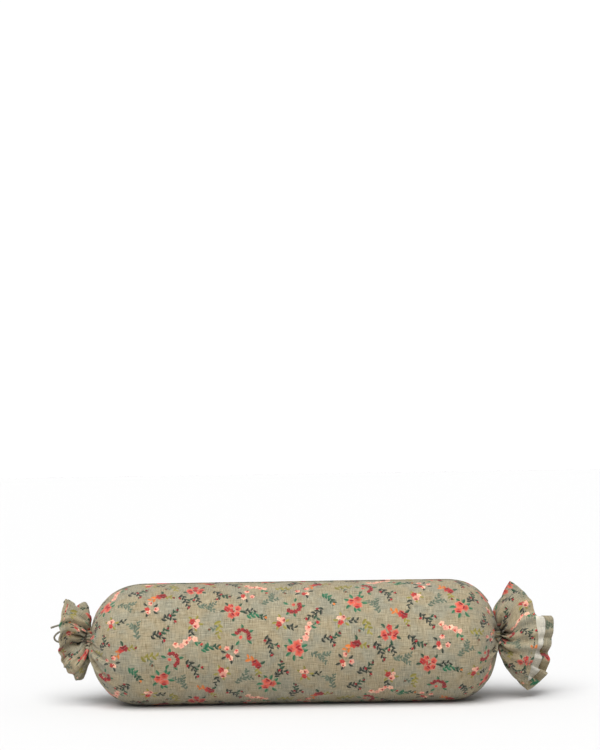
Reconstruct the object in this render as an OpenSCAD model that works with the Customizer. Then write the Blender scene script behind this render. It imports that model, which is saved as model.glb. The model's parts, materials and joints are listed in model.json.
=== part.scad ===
// Herbal bolster roll: a printed linen cover drawn in at both ends round a filled inner case.
// The roll lies along X. The origin is under its middle, on the flat that its weight presses.

/* [Roll] */
// Diameter of the stuffed roll
body_d = 150; // [130:1:180]
// Distance between the two drawn-in necks
neck_span = 500; // [440:5:600]
// Length of the rounded shoulder at the left end
shoulder_left = 72; // [60:1:90]
// Length of the rounded shoulder at the right end
shoulder_right = 64; // [56:1:90]
// Squareness of the shoulder: 2 is an ellipse, more is boxier
shoulder_power = 2.6; // [2:0.1:3.2]
// Depth of the flat that the roll's weight presses into its underside
flat_depth = 1.5; // [0.6:0.1:4]

/* [Cloth] */
// Thickness of the printed linen
cloth_t = 0.8; // [0.6:0.1:1]
// Air left between one layer and the next
layer_gap = 0.3; // [0.25:0.05:0.4]
// Width of the folded and stitched hem at each open end
hem_w = 9; // [7:0.5:11]
// Width of the overlapping strip that closes the cover along its back
flap_deg = 24; // [16:1:30]

/* [Drawn necks] */
// Diameter of the gathered neck
neck_d = 28; // [24:1:32]
// Diameter of the drawcord
cord_d = 2.5; // [2:0.1:3]
// Diameter of the knot that holds the drawcord
knot_d = 8.4; // [7:0.2:9]
// Height of the left neck above the middle of the roll
lift_left = 7; // [0:0.5:9]
// Height of the right neck above the middle of the roll
lift_right = 5; // [0:0.5:9]

/* [Frills] */
// Mean spread of the left frill's hem from the axis
left_spread = 43; // [40:1:46]
// Mean spread of the right frill's hem from the axis
right_spread = 56; // [50:1:57]
// Height of the soft waves that run round the frills
wave_h = 3; // [1:0.5:4]

/* [Label] */
// Length of the woven label
label_l = 34; // [26:1:40]
// Width of the woven label
label_w = 12; // [9:0.5:13]

/* [Hidden] */
$fn = 96;

LEFT = -1;
RIGHT = 1;
body_r = body_d / 2;
axis_z = body_r - flat_depth;
neck_x = neck_span / 2;
neck_r = neck_d / 2;
neck_len = 6;
pivot_x = neck_x + neck_len;             // where the soft neck bends
ball_r = 9;                              // gathered cloth inside the neck, as a ball round the bend
ring_r = neck_r - cloth_t * 3 - cord_d / 2;  // centre line of the drawcord inside its channel
knot_y = neck_r + knot_d / 2 + 0.6;      // the knot sits behind the neck
linen = "#9f9779";
cotton = "#e9e2d0";
cord_grey = "#7c766a";
husk = "#8a6f4a";

// Radius of the roll at x, for a layer that lies `inset` inside the outer face.
function shoulder_len(side) = side == LEFT ? shoulder_left : shoulder_right;
function shoulder_radius(s) = neck_r + (body_r - neck_r) * sqrt(1 - pow(s, shoulder_power));
SHOULDER_STEPS = 20;

// Profile points from the middle of the roll to one neck, [distance along the roll, radius].
// A layer with an end gap draws back from the neck, where the cover has creases.
function half_profile(side, inset, end_gap = 0) = [
    for (i = [0:SHOULDER_STEPS])
        let (s = sin(90 * i / SHOULDER_STEPS))
        [neck_x - shoulder_len(side) * (1 - s) - inset * s - end_gap * s * s, shoulder_radius(s) - inset]
];

// Turns a shape that was revolved about Z so that it runs along X at the roll's axis.
module along_roll() {
    translate([0, 0, axis_z]) rotate([0, 90, 0]) children();
}

// The roll as a solid, `inset` inside its outer face, with its underside pressed flat.
module roll_solid(inset, end_gap = 0) {
    left = half_profile(LEFT, inset, end_gap);
    right = half_profile(RIGHT, inset, end_gap);
    outline = concat(
        [[0, -left[SHOULDER_STEPS][0]]],
        [for (i = [SHOULDER_STEPS:-1:0]) [left[i][1], -left[i][0]]],
        [for (p = right) [p[1], p[0]]],
        [[0, right[SHOULDER_STEPS][0]]]
    );
    intersection() {
        along_roll() rotate_extrude() polygon(outline);
        translate([-neck_span, -body_d, inset]) cube([2 * neck_span, 2 * body_d, 2 * body_d]);
    }
}

// The filling settles, so each neck sits a little above the middle of the roll.
function neck_z(side) = axis_z + (side == LEFT ? lift_left : lift_right);

// Moves a shape that stands at the origin along +Z to a neck, pointing outwards.
module at_neck(side, x) {
    translate([side * x, 0, neck_z(side)]) rotate([0, side * 90, 0]) children();
}

module cover_body() {
    color(linen) {
        difference() {
            roll_solid(0);
            roll_solid(cloth_t);
        }
        for (side = [LEFT, RIGHT]) {
            // The gathered neck: an open sleeve round the drawcord, closed by a rounded plug of pleats.
            at_neck(side, neck_x - cloth_t) difference() {
                cylinder(h = neck_len - 1, r = neck_r);
                translate([0, 0, -1]) cylinder(h = neck_len - 1, r = ring_r + cord_d / 2 + 0.1);
            }
            at_neck(side, pivot_x) intersection() {
                sphere(r = ball_r);
                translate([0, 0, -neck_len + 3]) cylinder(h = 2 * ball_r, r = ball_r);
            }
        }
    }
}

// A strip that follows the roll's outer face, between two layers and two angles behind the top.
module back_strip(low, high, from_deg, sweep_deg, end_inset) {
    left = half_profile(LEFT, 0);
    right = half_profile(RIGHT, 0);
    shift = end_inset;
    inner = concat(
        [for (i = [SHOULDER_STEPS - shift:-1:0]) [left[i][1] + low, -left[i][0]]],
        [for (i = [0:SHOULDER_STEPS - shift]) [right[i][1] + low, right[i][0]]]
    );
    outer = [for (i = [len(inner) - 1:-1:0]) [inner[i][0] + high - low, inner[i][1]]];
    along_roll() rotate([0, 0, 180 - from_deg - sweep_deg])
        rotate_extrude(angle = sweep_deg) polygon(concat(inner, outer));
}

module closure_flap() {
    color(linen) back_strip(layer_gap, layer_gap + cloth_t, 10, flap_deg, 4);
}

module closure_underlap() {
    inset = cloth_t + layer_gap;
    straight = neck_span - shoulder_left - shoulder_right;
    color(linen) translate([(shoulder_left - shoulder_right) / 2, 0, 0]) along_roll()
        rotate([0, 0, 180 - 16 - flap_deg]) rotate_extrude(angle = flap_deg)
            translate([body_r - inset - cloth_t, -straight / 2]) square([cloth_t, straight]);
}

// Inner case: a plain cotton tube with a domed round panel at each end.
case_inset = 2 * (cloth_t + layer_gap);
case_t = 0.6;
case_gap = 11;        // how far the case's ends stay back from the necks
panel_gap = 0.4;
case_left = neck_x - shoulder_left;
case_right = neck_x - shoulder_right;

module case_layer(inset, thick) {
    difference() {
        roll_solid(inset, case_gap);
        roll_solid(inset + thick, case_gap);
    }
}

module between(x_from, x_to) {
    translate([x_from, -body_d, -body_d]) cube([x_to - x_from, 2 * body_d, 4 * body_d]);
}

module insert_case() {
    color(cotton) intersection() {
        case_layer(case_inset, case_t);
        between(-case_left, case_right);
    }
}

module insert_end(side) {
    reach = side == LEFT ? case_left : case_right;
    edge = reach + panel_gap;
    color(cotton) intersection() {
        case_layer(case_inset, case_t);
        between(min(side * edge, side * neck_x), max(side * edge, side * neck_x));
    }
}

// Seam allowances of the two round panels, turned inside the case.
seam_w = 8;
seam_t = 1;
seam_inset = case_inset + case_t + 0.2;

module insert_seams() {
    color(cotton) for (x = [-case_left, case_right - seam_w])
        intersection() {
            case_layer(seam_inset, seam_t);
            between(x, x + seam_w);
        }
}

module herb_filling() {
    color(husk) roll_solid(seam_inset + seam_t + layer_gap, case_gap);
}

// The tape that makes the drawcord's channel, gathered to a plug inside the neck.
module channel_tape(side) {
    color(cotton) at_neck(side, neck_x + 0.1) cylinder(h = neck_len - 3.3, r = ring_r - cord_d / 2 - 0.1);
}

module drawcord(side) {
    color(cord_grey) at_neck(side, neck_x + cord_d / 2 + 0.2)
        rotate_extrude() translate([ring_r, 0]) circle(d = cord_d, $fn = 24);
}

// The knot sits behind the neck, on the line that the frill bends about.
module cord_knot(side) {
    color(cord_grey) translate([side * pivot_x, knot_y, neck_z(side)]) sphere(d = knot_d, $fn = 48);
}

// Routes of the bow's cords from the left knot: [outwards, backwards, upwards] from the knot's centre.
tube_start = knot_d / 2 + 0.3;
LOOP_OUTER = [
    [4, 0, 1.9], [10, 8, 3.6], [17, 16, 5.2], [25, 23, 6.6], [33, 26, 6.8], [40, 26.5, 5.6],
    [45, 26, 2.8], [48, 25.5, -1.5], [46.5, 25.5, -5.5], [41.5, 26, -7.8], [35, 26.5, -8],
    [28, 26, -7.4], [22, 22.5, -6], [16, 16, -4.6], [10, 8, -3.2], [4, 0, -1.6],
];
LOOP_LOWER = [
    [3.2, 1, -3.2], [6, 8, -7], [8.5, 15, -12], [11, 20.5, -18], [14, 24, -25], [16, 26, -32],
    [14.5, 27, -38], [10.5, 26.5, -40], [7.5, 25, -36], [6.5, 22.5, -29.5], [5.8, 18.5, -22.5],
    [4.8, 13.5, -16], [3.2, 8, -10.5], [1.2, 1.5, -4.4],
];
TAIL_OUTER = [
    [2.8, 0.4, 3.5], [8, 8, 7.5], [15, 15, 11], [23, 21.5, 13.6], [31, 25.5, 14.6],
    [38, 26.5, 14.2], [45, 26.5, 12.8], [52.5, 26, 10.4],
];
TAIL_LOWER = [
    [0.4, 4.3, -1.4], [3.5, 11.5, -5], [8, 18.5, -11], [12, 24.5, -18], [15, 28.5, -26],
    [16.5, 30, -34], [16.5, 29.5, -41],
];

function unit(v) = v / norm(v);
function tangent(path, i) = unit(path[min(i + 1, len(path) - 1)] - path[max(i - 1, 0)]);

// A round cord through the points of a path, as rings of eight corners.
TUBE_SIDES = 8;
function ring_points(path, i, d) =
    let (t = tangent(path, i), side_way = unit(cross(t, [0.31, 0.86, -0.4])), up = cross(t, side_way))
    [for (k = [0:TUBE_SIDES - 1]) let (a = 360 * k / TUBE_SIDES)
        path[i] + d / 2 * (cos(a) * side_way + sin(a) * up)];

module cord_tube(path, d) {
    rings = len(path);
    points = [for (i = [0:rings - 1]) each ring_points(path, i, d)];
    walls = [for (i = [0:rings - 2], k = [0:TUBE_SIDES - 1])
        let (a = i * TUBE_SIDES + k, b = i * TUBE_SIDES + (k + 1) % TUBE_SIDES)
        each [[a, b, b + TUBE_SIDES], [a, b + TUBE_SIDES, a + TUBE_SIDES]]];
    caps = [
        [for (k = [TUBE_SIDES - 1:-1:0]) k],
        [for (k = [0:TUBE_SIDES - 1]) (rings - 1) * TUBE_SIDES + k],
    ];
    polyhedron(points, concat(walls, caps), convexity = 6);
}

module bow_cord(path) {
    placed = [for (p = path) [-pivot_x - p[0], knot_y + p[1], neck_z(LEFT) + p[2]]];
    color(cord_grey) difference() {
        cord_tube(placed, cord_d);
        translate([-pivot_x, knot_y, neck_z(LEFT)]) sphere(r = tube_start, $fn = 48);
    }
}

// A frill is the cover's open end beyond the neck, spread like a bell by its gathers.
// Its hem is set by how far it spreads from the axis and how far it stands out from the bend:
// [mean, top over bottom, top and bottom over front and back, front over back].
LEFT_SPREAD = [left_spread, 2, 6.5, 0];
LEFT_REACH = [24, 7, -5, 1.5];
RIGHT_SPREAD = [right_spread, -1.5, 10.5, 1];
RIGHT_REACH = [38, -11, -14, -8];
FRILL_SEGMENTS = 40;
FRILL_RINGS = 7;
root_r = 13;
root_reach = 5;
frill_t = 2.2;
LEFT_WAVES = 7;
RIGHT_WAVES = 9;

function around(c, a) = c[0] + c[1] * cos(a) + c[2] * cos(2 * a) + c[3] * sin(a);

// A point of the frill's cloth: t runs from the root to the hem, a from the top towards the front.
function frill_point(side, t, a) =
    let (
        spread = around(side == LEFT ? LEFT_SPREAD : RIGHT_SPREAD, a),
        reach = around(side == LEFT ? LEFT_REACH : RIGHT_REACH, a),
        waves = side == LEFT ? LEFT_WAVES : RIGHT_WAVES,
        r = root_r + (spread - root_r) * t,
        x = root_reach + (reach - root_reach) * pow(t, 1.3) + wave_h * t * t * sin(waves * a)
    )
    [side * (pivot_x + x), -r * sin(a), neck_z(side) + r * cos(a)];

// The cloth between two rings, given its thickness along the roll.
module frill_band(side, t_from, t_to, rings, thick, offset) {
    n = FRILL_SEGMENTS;
    sheet = [for (j = [0:rings], i = [0:n - 1])
        frill_point(side, t_from + (t_to - t_from) * j / rings, 360 * i / n)];
    m = len(sheet);
    points = concat(
        [for (p = sheet) p + [side * offset, 0, 0]],
        [for (p = sheet) p + [side * (offset + thick), 0, 0]]
    );
    function quad(a, b, c, d) = side == LEFT ? [[a, b, c], [a, c, d]] : [[c, b, a], [d, c, a]];
    skins = [for (j = [0:rings - 1], i = [0:n - 1])
        let (a = j * n + i, b = j * n + (i + 1) % n)
        each concat(quad(a, b, b + n, a + n), quad(m + a + n, m + b + n, m + b, m + a))];
    rims = [for (i = [0:n - 1])
        let (a = i, b = (i + 1) % n, c = rings * n + i, d = rings * n + (i + 1) % n)
        each concat(quad(m + a, m + b, b, a), quad(c, d, m + d, m + c))];
    polyhedron(points, concat(skins, rims), convexity = 8);
}

// Share of the frill, from root to hem, at which the hem band starts.
function hem_start(side) = 1 - hem_w / (side == LEFT ? left_spread : right_spread);

module frill(side) {
    color(linen) frill_band(side, 0, hem_start(side) - 0.012, FRILL_RINGS, frill_t, 0);
}

module hem(side) {
    color(linen) frill_band(side, hem_start(side), 1, 2, frill_t + 1, -0.5);
}

// The label lies on the inside of the right frill's back wall, next to the hem.
LABEL_AT = 0.76;      // share of the frill from root to hem
LABEL_TURN = 281;     // angle round the frill, towards the back
label_t = 0.8;

module on_label() {
    p = frill_point(RIGHT, LABEL_AT, LABEL_TURN);
    q = frill_point(RIGHT, LABEL_AT + 0.1, LABEL_TURN);
    slope = atan2(q[1] - p[1], q[0] - p[0]);
    translate(p + [frill_t + 3.6, 0, 0]) rotate([0, 0, slope]) children();
}

module woven_label() {
    color(cotton) on_label() translate([-label_w / 2, -label_t, -label_l / 2]) cube([label_w, label_t, label_l]);
}

module label_stitches() {
    color(cord_grey) on_label() for (z = [-label_l / 2 + 2, label_l / 2 - 2], x = [-4:2:4])
        translate([x - 0.6, -label_t - 0.5, z - 0.2]) cube([1.2, 0.4, 0.4]);
}

cover_body();
closure_flap();
closure_underlap();
insert_case();
insert_end(LEFT);  // insert_end_left
insert_end(RIGHT);  // insert_end_right
insert_seams();
herb_filling();
channel_tape(LEFT);  // channel_tape_left
channel_tape(RIGHT);  // channel_tape_right
drawcord(LEFT);  // drawcord_left
drawcord(RIGHT);  // drawcord_right
cord_knot(LEFT);  // cord_knot_left
cord_knot(RIGHT);  // cord_knot_right
bow_cord(LOOP_OUTER);  // bow_loop_outer
bow_cord(LOOP_LOWER);  // bow_loop_lower
bow_cord(TAIL_OUTER);  // bow_tail_outer
bow_cord(TAIL_LOWER);  // bow_tail_lower
frill(LEFT);  // frill_left
hem(LEFT);  // hem_left
frill(RIGHT);  // frill_right
hem(RIGHT);  // hem_right
woven_label();
label_stitches();
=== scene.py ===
import json
import math

import bmesh
import bpy
import numpy as np
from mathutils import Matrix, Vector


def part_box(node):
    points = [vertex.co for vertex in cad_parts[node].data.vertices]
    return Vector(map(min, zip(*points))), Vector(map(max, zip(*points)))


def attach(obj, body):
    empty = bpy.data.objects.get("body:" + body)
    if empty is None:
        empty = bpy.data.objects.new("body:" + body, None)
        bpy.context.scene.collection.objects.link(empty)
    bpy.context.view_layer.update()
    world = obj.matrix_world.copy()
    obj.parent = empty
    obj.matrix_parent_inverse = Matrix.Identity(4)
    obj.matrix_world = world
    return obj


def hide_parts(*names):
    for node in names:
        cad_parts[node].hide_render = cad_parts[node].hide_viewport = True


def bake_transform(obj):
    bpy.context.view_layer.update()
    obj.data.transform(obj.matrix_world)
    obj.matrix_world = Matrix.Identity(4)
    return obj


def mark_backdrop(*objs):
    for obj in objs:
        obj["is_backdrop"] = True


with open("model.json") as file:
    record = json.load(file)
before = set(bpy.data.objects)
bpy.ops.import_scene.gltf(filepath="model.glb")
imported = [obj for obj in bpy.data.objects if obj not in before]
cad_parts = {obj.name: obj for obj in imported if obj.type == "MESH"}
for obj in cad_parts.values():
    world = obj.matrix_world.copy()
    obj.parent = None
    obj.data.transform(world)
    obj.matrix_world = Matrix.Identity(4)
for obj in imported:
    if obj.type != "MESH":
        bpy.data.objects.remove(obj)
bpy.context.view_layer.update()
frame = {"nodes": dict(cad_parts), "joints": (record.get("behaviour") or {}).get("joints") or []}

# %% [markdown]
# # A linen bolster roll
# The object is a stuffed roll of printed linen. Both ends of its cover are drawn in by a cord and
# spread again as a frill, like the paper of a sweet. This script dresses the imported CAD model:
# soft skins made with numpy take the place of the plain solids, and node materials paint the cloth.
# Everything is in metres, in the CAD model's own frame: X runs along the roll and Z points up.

MM = 0.001
LEFT, RIGHT = -1, 1
SIDE_NAME = {LEFT: "left", RIGHT: "right"}
cover_low, cover_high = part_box("cover_body")
BODY_R = (cover_high.y - cover_low.y) / 2
AXIS_Z = cover_high.z - BODY_R
hinges = {j["name"]: np.array(j["pos_m"]) for j in frame["joints"]}
PIVOT = {LEFT: hinges["frill_left_flop"], RIGHT: hinges["frill_right_flop"]}
SHOULDER = {LEFT: 72 * MM, RIGHT: 64 * MM}
SHOULDER_POWER = 2.6
NECK_R = 14 * MM
NECK_X = 250 * MM
CLOTH_ROUND = 2 * math.pi * BODY_R
HEM_W = 9.5 * MM
CORD_D = 2.5 * MM
print("roll radius", round(BODY_R, 4), "axis height", round(AXIS_Z, 4), "pivots", PIVOT)


def add_object(name, data):
    """An object with this data, put into the scene."""
    obj = bpy.data.objects.new(name, data)
    bpy.context.scene.collection.objects.link(obj)
    return obj


# %% [markdown]
# ## Camera
# The roll is seen from straight in front and a little above, with a long lens that keeps its ends
# nearly parallel. The camera is level and turned by less than a degree about its own line of sight.

# %% Camera
CAMERA_AWAY = 2.6
CAMERA_UP = 0.407
camera_data = bpy.data.cameras.new("camera")
camera_data.lens = 100
camera_data.sensor_width = 36
camera = add_object("camera", camera_data)
camera.location = (0.013, -CAMERA_AWAY, CAMERA_UP)
camera.rotation_euler = (math.radians(90), 0, 0)
camera.rotation_euler.rotate_axis("Z", math.radians(-0.9))
bpy.context.scene.camera = camera
print("camera", tuple(camera.location))

# %% [markdown]
# ## Cords
# The drawcord runs hidden inside its channel. At the left neck it is tied in a bow whose knot sits
# behind the frill, so only the tips of one loop and one tail stick out past the hem. Each cord is a
# tube whose points follow the same route as the CAD tube: outwards, backwards and up from the knot.

# %% Cords of the bow
KNOT_BACK = 18.8 * MM
LOOP_OUTER = [
    (4, 0, 1.9), (10, 8, 3.6), (17, 16, 5.2), (25, 23, 6.6), (33, 26, 6.8), (40, 26.5, 5.6),
    (45, 26, 2.8), (48, 25.5, -1.5), (46.5, 25.5, -5.5), (41.5, 26, -7.8), (35, 26.5, -8),
    (28, 26, -7.4), (22, 22.5, -6), (16, 16, -4.6), (10, 8, -3.2), (4, 0, -1.6),
]
LOOP_LOWER = [
    (3.2, 1, -3.2), (6, 8, -7), (8.5, 15, -12), (11, 20.5, -18), (14, 24, -25), (16, 26, -32),
    (14.5, 27, -38), (10.5, 26.5, -40), (7.5, 25, -36), (6.5, 22.5, -29.5), (5.8, 18.5, -22.5),
    (4.8, 13.5, -16), (3.2, 8, -10.5), (1.2, 1.5, -4.4),
]
TAIL_OUTER = [
    (2.8, 0.4, 3.5), (8, 8, 7.5), (15, 15, 11), (23, 21.5, 13.6), (31, 25.5, 14.6),
    (38, 26.5, 14.2), (45, 26.5, 12.8), (52.5, 26, 10.4),
]
TAIL_LOWER = [
    (0.4, 4.3, -1.4), (3.5, 11.5, -5), (8, 18.5, -11), (12, 24.5, -18), (15, 28.5, -26),
    (16.5, 30, -34), (16.5, 29.5, -41),
]
KNOT = {side: PIVOT[side] + (0, KNOT_BACK, 0) for side in (LEFT, RIGHT)}


def smooth_path(points, per_step=8):
    """A curve through all the points: between two points each coordinate follows a cubic whose
    slope at a point is half the step from the point before to the point after."""
    p = np.array(points, float)
    before = np.vstack([2 * p[0] - p[1], p[:-1]])
    after = np.vstack([p[1:], 2 * p[-1] - p[-2]])
    slope = (after - before) / 2
    t = np.linspace(0, 1, per_step, endpoint=False)[None, :, None]
    a, b, m, n = p[:-1, None], p[1:, None], slope[:-1, None], slope[1:, None]
    curve = (a * (1 + 2 * t) * (1 - t) ** 2 + m * t * (1 - t) ** 2
             + b * t * t * (3 - 2 * t) + n * t * t * (t - 1))
    return np.vstack([curve.reshape(-1, 3), p[-1:]])


def length_of(path):
    """The sum of the distances between neighbouring points."""
    return float(np.linalg.norm(np.diff(path, axis=0), axis=1).sum())


def cord_tube(name, path, radius):
    """A round tube along the path with flat caps: a bevelled poly spline is turned into a mesh, and
    the points that its caps share with its wall are merged."""
    data = bpy.data.curves.new(name, "CURVE")
    data.dimensions = "3D"
    data.bevel_depth = radius
    data.bevel_resolution = 3
    data.use_fill_caps = True
    spline = data.splines.new("POLY")
    spline.points.add(len(path) - 1)
    spline.points.foreach_set("co", np.column_stack([path, np.ones(len(path))]).ravel())
    line = bpy.data.objects.new(name, data)
    mesh = bpy.data.meshes.new_from_object(line)
    bpy.data.objects.remove(line)
    bpy.data.curves.remove(data)
    build = bmesh.new()
    build.from_mesh(mesh)
    bmesh.ops.remove_doubles(build, verts=build.verts, dist=1e-6)
    bmesh.ops.recalc_face_normals(build, faces=build.faces)
    build.to_mesh(mesh)
    build.free()
    mesh.polygons.foreach_set("use_smooth", np.ones(len(mesh.polygons), bool))
    return add_object(name, mesh)


def bow_cord(name, route):
    path = smooth_path([KNOT[LEFT] + (-o * MM, b * MM, u * MM) for o, b, u in route])
    obj = cord_tube(name, path, CORD_D / 2)
    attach(obj, "bolster")
    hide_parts(name.replace("cord_", ""))
    print(name, "is", round(length_of(path) * 1000, 1), "mm long")
    return obj


bow = [
    bow_cord("cord_bow_loop_outer", LOOP_OUTER),
    bow_cord("cord_bow_loop_lower", LOOP_LOWER),
    bow_cord("cord_bow_tail_outer", TAIL_OUTER),
    bow_cord("cord_bow_tail_lower", TAIL_LOWER),
]

# %% [markdown]
# ## The printed pattern
# The cloth carries a scattered floral print. Nothing is an image. Each mark is either a bent lens
# (leaf, bud, stem) or a round blossom, in the flat cloth's own coordinates: u along the roll and v
# round it, in mm. A motif is a small group of marks drawn round its own middle. The motifs stand in
# rows, named in order, and a rule spaces them, turns them and moves each a little, so that the rows
# close on a slanted lattice. Every face of the cloth then stores the few marks that cross it, as the
# mark's own coordinates at the face's corners, and the shader draws them.

# %% Marks and motifs
REPEAT_A = (237, -70)
REPEAT_B = (0, 166.5)
INK = {
    "crimson": (142, 22, 34), "red": (176, 44, 42), "coral": (198, 74, 58),
    "pink": (226, 152, 132), "peach": (234, 178, 150), "bud": (104, 24, 32),
    "green": (28, 66, 48), "emerald": (30, 98, 68), "dark": (28, 42, 36),
    "grey": (84, 98, 82), "olive": (130, 122, 54), "orange": (198, 108, 44),
    "brown": (100, 60, 38),
}
marks = []
chance = np.random.default_rng(41)


def linear(rgb):
    """Display colour from 0 to 255 turned into the linear colour that a shader takes."""
    c = np.array(rgb, float) / 255
    return np.where(c <= 0.04045, c / 12.92, ((c + 0.055) / 1.055) ** 2.4)


def colour(*rgb):
    """The same as a plain tuple, for a socket."""
    return tuple(linear(rgb))


def mark(order, u, v, angle, half_l, half_w, bend, ink, kind):
    """order 0 is on top. kind 0 is a lens and kind 1 a blossom; angle is in degrees."""
    tone = linear(INK[ink]) * chance.uniform(0.82, 1.18)
    marks.append((order, u, v, angle, half_l, half_w, bend, *np.clip(tone, 0, 1), kind))


def blossom(u, v, size=8.0, ink="pink", heart="red"):
    """A round flower with a small dark heart and one petal of a second colour beside it."""
    glow = 0.6 if ink in ("pink", "peach", "coral") else 0.2
    mark(1, u, v, chance.uniform(0, 360), size * 0.62, size * chance.uniform(0.46, 0.6), glow, ink, 1)
    side = chance.uniform(0, 2 * math.pi)
    mark(0, u + 0.28 * size * math.cos(side), v + 0.28 * size * math.sin(side),
         math.degrees(side) + 90, size * 0.31, size * 0.17, 0.5, heart, 0)


def leaf(u, v, angle, size=5.0, ink="green"):
    mark(2, u, v, angle, size * 0.68, size * 0.34, chance.uniform(-0.5, 0.5), ink, 0)


def bud(u, v, size=3.2, ink="bud"):
    mark(1, u, v, chance.uniform(0, 180), size * 0.6, size * 0.46, 0, ink, 0)


def stem(u0, v0, u1, v1, ink="dark", wide=0.8, bend=1.2):
    """A thin line from one place to another, bowed sideways by `bend` of its own widths."""
    angle = math.degrees(math.atan2(v1 - v0, u1 - u0))
    half = math.hypot(u1 - u0, v1 - v0) / 2
    mark(3, (u0 + u1) / 2, (v0 + v1) / 2, angle, half, wide / 2 + 0.12, bend, ink, 0)


def sprig(u0, v0, u1, v1, leaves=5, ink="green", size=5.0, tip=None, stalk=None):
    """A stem with leaves on alternate sides and, where tip is given, a bud at its end."""
    stem(u0, v0, u1, v1, stalk or ink)
    along = math.degrees(math.atan2(v1 - v0, u1 - u0))
    for k in range(leaves):
        t = (k + 0.7) / leaves
        a = math.radians(along + (1 if k % 2 else -1) * chance.uniform(35, 60))
        grow = size * (1.1 - 0.35 * t) * chance.uniform(0.85, 1.15)
        leaf(u0 + (u1 - u0) * t + grow * 0.45 * math.cos(a),
             v0 + (v1 - v0) * t + grow * 0.45 * math.sin(a), math.degrees(a), grow, ink)
    if tip:
        bud(u1, v1, 3.6, tip)


def ring_of_leaves(radius, count, ink="green", size=5.0):
    start = chance.uniform(0, 360)
    for k in range(count):
        a = math.radians(start + 360 * k / count + chance.uniform(-16, 16))
        leaf(radius * math.cos(a), radius * math.sin(a), math.degrees(a), size, ink)


def huddle(count, spread, size, inks, heart="red"):
    """Blossoms that touch one another round the motif's middle."""
    for k in range(count):
        a = 2 * math.pi * k / count + chance.uniform(-0.3, 0.3)
        blossom(spread * math.cos(a), spread * math.sin(a), size * chance.uniform(0.85, 1.1),
                inks[k % len(inks)], heart)


def coral_wreath():
    huddle(3, 5.2, 11, ["coral"], "crimson")
    bud(0, 0, 4.5, "crimson")
    ring_of_leaves(11, 8, "emerald", 6.5)


def coral_cluster():
    huddle(5, 7, 8.5, ["coral", "coral", "red"], "crimson")
    blossom(0, 0, 7, "red", "crimson")
    ring_of_leaves(12, 5, "green", 5.5)
    sprig(9, -6, 24, -12, 5, "dark", 5)


def pair():
    huddle(2, 3.4, 8, ["pink", "red"], "crimson")
    blossom(1, 5, 5.5, "peach", "pink")
    ring_of_leaves(8, 5, "olive", 5)
    sprig(2, -6, 9, -17, 4, "dark", 5)


def crimson_twig():
    huddle(2, 2.6, 8.5, ["crimson", "red"], "bud")
    sprig(-4, -1, -14, -4, 3, "orange", 6, None, "brown")
    sprig(4, -1, 14, -7, 4, "olive", 5, "bud")
    leaf(2, 7, 80, 6, "green")


def berry_bow():
    for k in range(6):
        a = math.radians(100 - 34 * k)
        blossom(7 * math.cos(a), 8 * math.sin(a), chance.uniform(5.2, 6.4), "crimson", "bud")
    blossom(-3, 1, 4.8, "coral", "red")
    ring_of_leaves(11, 5, "emerald", 5.5)


def pink_row():
    for k in range(5):
        blossom(6 * k - 12, chance.uniform(-2.5, 2.5), chance.uniform(6, 7.8),
                ("peach", "pink")[k % 2], ("coral", "pink", "red")[k % 3])
    sprig(9, -3, 17, -10, 3, "emerald", 4.8, "red", "dark")


def leafy_twig():
    sprig(-12, -3, 0, 0, 5, "dark", 5.4, "crimson")
    sprig(0, 0, 10, 6, 4, "green", 5.4, "bud", "dark")
    sprig(0, 0, 5, -9, 3, "dark", 5, "crimson")


def grey_spray():
    sprig(-9, -8, 0, 0, 5, "grey", 5)
    sprig(0, 0, 3, 12, 6, "grey", 4.6)
    sprig(0, 0, 11, 3, 5, "grey", 4.6)


def olive_sprig():
    sprig(-9, 7, 8, -4, 6, "olive", 6)
    sprig(0, 1, -4, -10, 4, "grey", 4.6, "brown")


def small_pinks():
    for k in range(4):
        blossom(4 * k - 6, 3 * math.cos(2 * k) * 2, 6.4, ("pink", "red", "peach", "pink")[k], "red")
    stem(-7, 2, 7, -7, "dark")
    ring_of_leaves(9, 5, "dark", 5.2)


def long_stem():
    sprig(0, 14, -2, -12, 9, "dark", 5.2, "crimson", "dark")
    sprig(0, 2, 9, -4, 3, "green", 5, "crimson", "dark")
    bud(-5, 7, 3.8, "crimson")


def green_garland():
    sprig(-12, 0, 0, 3, 5, "emerald", 6)
    sprig(0, 3, 12, -1, 5, "green", 5.4, "orange")


def place_motif(motif, u, v, turn):
    """Draws a motif round its middle, then turns it and moves it to its place."""
    first = len(marks)
    motif()
    c, s = math.cos(math.radians(turn)), math.sin(math.radians(turn))
    for k in range(first, len(marks)):
        order, x, y, angle, *rest = marks[k]
        marks[k] = (order, u + x * c - y * s, v + x * s + y * c, angle + turn, *rest)


# %% Rows of motifs
MOTIF_ROWS = [
    [coral_wreath, grey_spray, small_pinks, leafy_twig, pair, olive_sprig, berry_bow, long_stem],
    [pink_row, leafy_twig, crimson_twig, long_stem, grey_spray, coral_cluster, green_garland, pair],
    [berry_bow, long_stem, pair, olive_sprig, coral_cluster, leafy_twig, small_pinks, grey_spray],
    [small_pinks, green_garland, coral_wreath, grey_spray,
     crimson_twig, long_stem, pink_row, olive_sprig],
    [leafy_twig, crimson_twig, olive_sprig, berry_bow, long_stem, pair, grey_spray, coral_wreath],
    [pair, grey_spray, leafy_twig, pink_row, green_garland, small_pinks, crimson_twig, leafy_twig],
]
row_step = REPEAT_B[1] / len(MOTIF_ROWS)
for r, row in enumerate(MOTIF_ROWS):
    for k, motif in enumerate(row):
        along = (k + 0.5 * (r % 2)) / len(row)
        place_motif(motif, REPEAT_A[0] * along + chance.uniform(-3, 3),
                    REPEAT_A[1] * along + row_step * r + chance.uniform(-3, 3),
                    chance.uniform(-70, 70))
marks = np.array(sorted(marks, key=lambda m: m[0]))
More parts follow.
